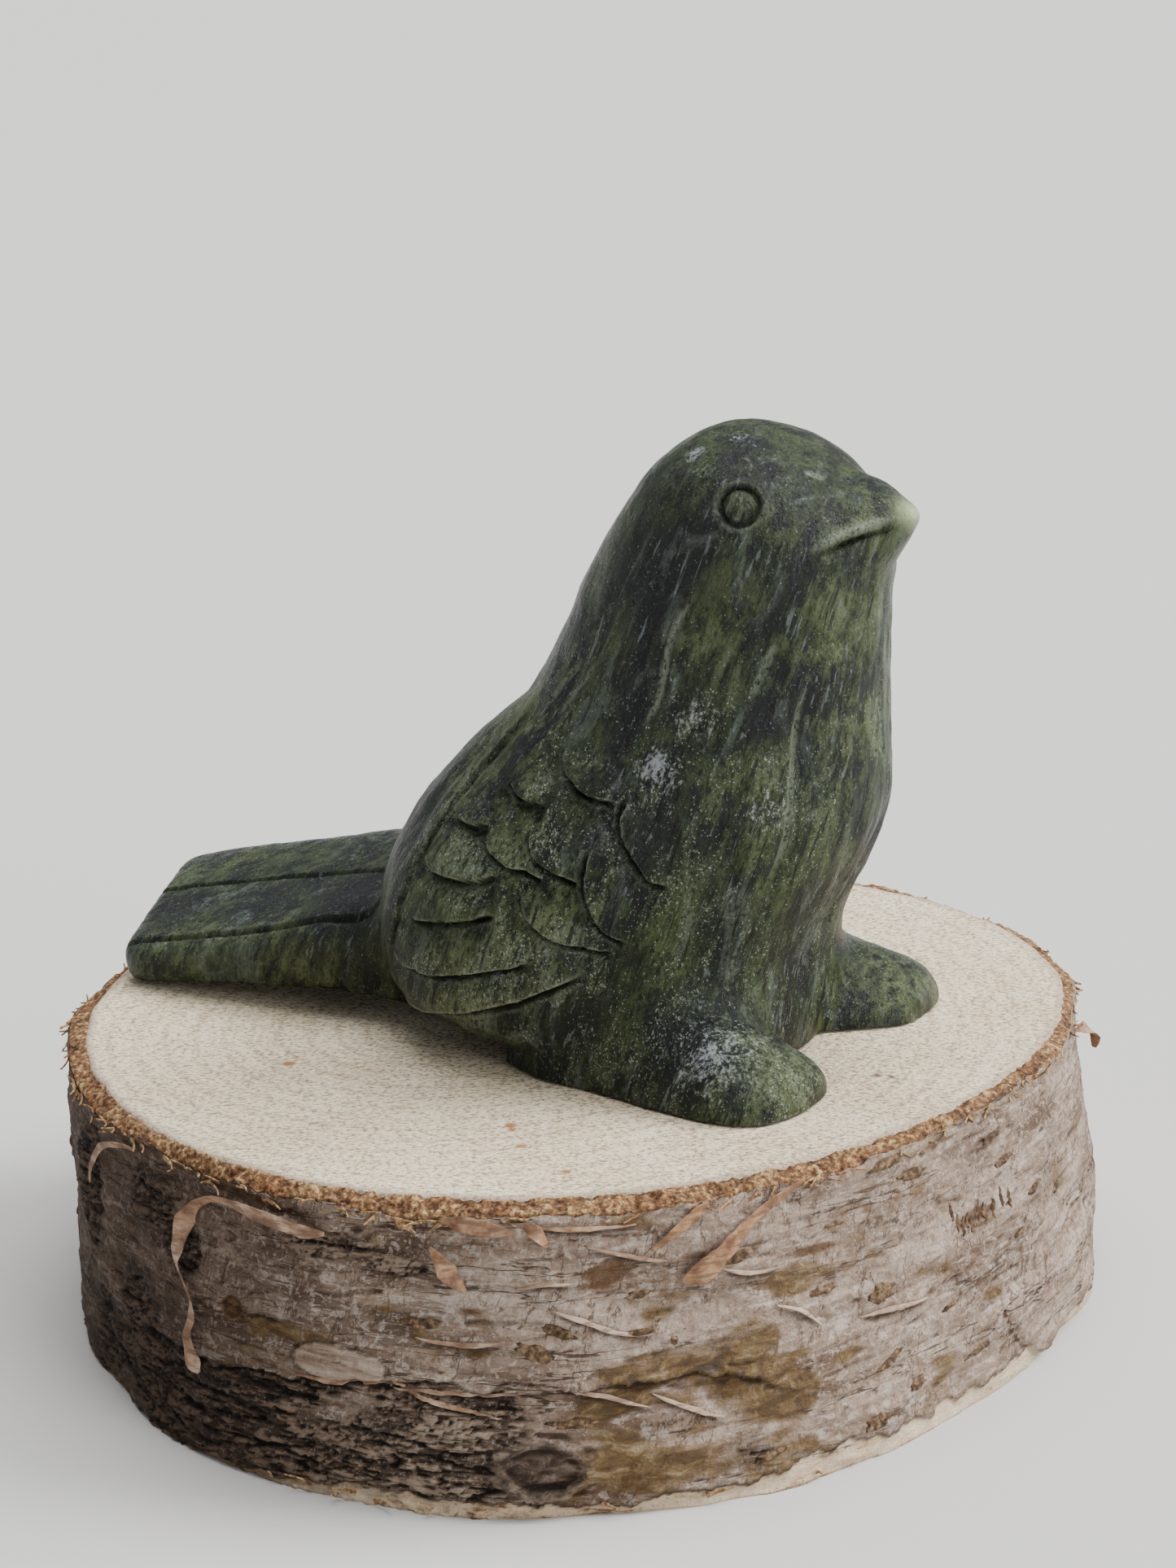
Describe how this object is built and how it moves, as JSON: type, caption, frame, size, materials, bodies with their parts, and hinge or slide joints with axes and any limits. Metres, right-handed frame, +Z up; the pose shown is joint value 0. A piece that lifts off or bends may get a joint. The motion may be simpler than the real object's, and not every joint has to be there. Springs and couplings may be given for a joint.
{
  "type": "stone bird carving",
  "caption": "Carved green serpentine bird, sitting upright with a long flat tail, resting on a low slice of birch trunk with its bark on.",
  "frame": {"origin": "centre of the birch slice's flat underside", "axes": "+Z up, the bird's beak towards -Y, its tail towards +Y, its left side towards +X"},
  "size_m": [0.1262, 0.122, 0.1037],
  "materials": {
    "serpentine": "dark mottled green, hand rubbed to a satin sheen",
    "birch": "pale sanded end grain, rough peeling bark round the side"
  },
  "bodies": {
    "root": {"serpentine_bird": "serpentine", "birch_slice": "birch"}
  },
  "joints": []
}
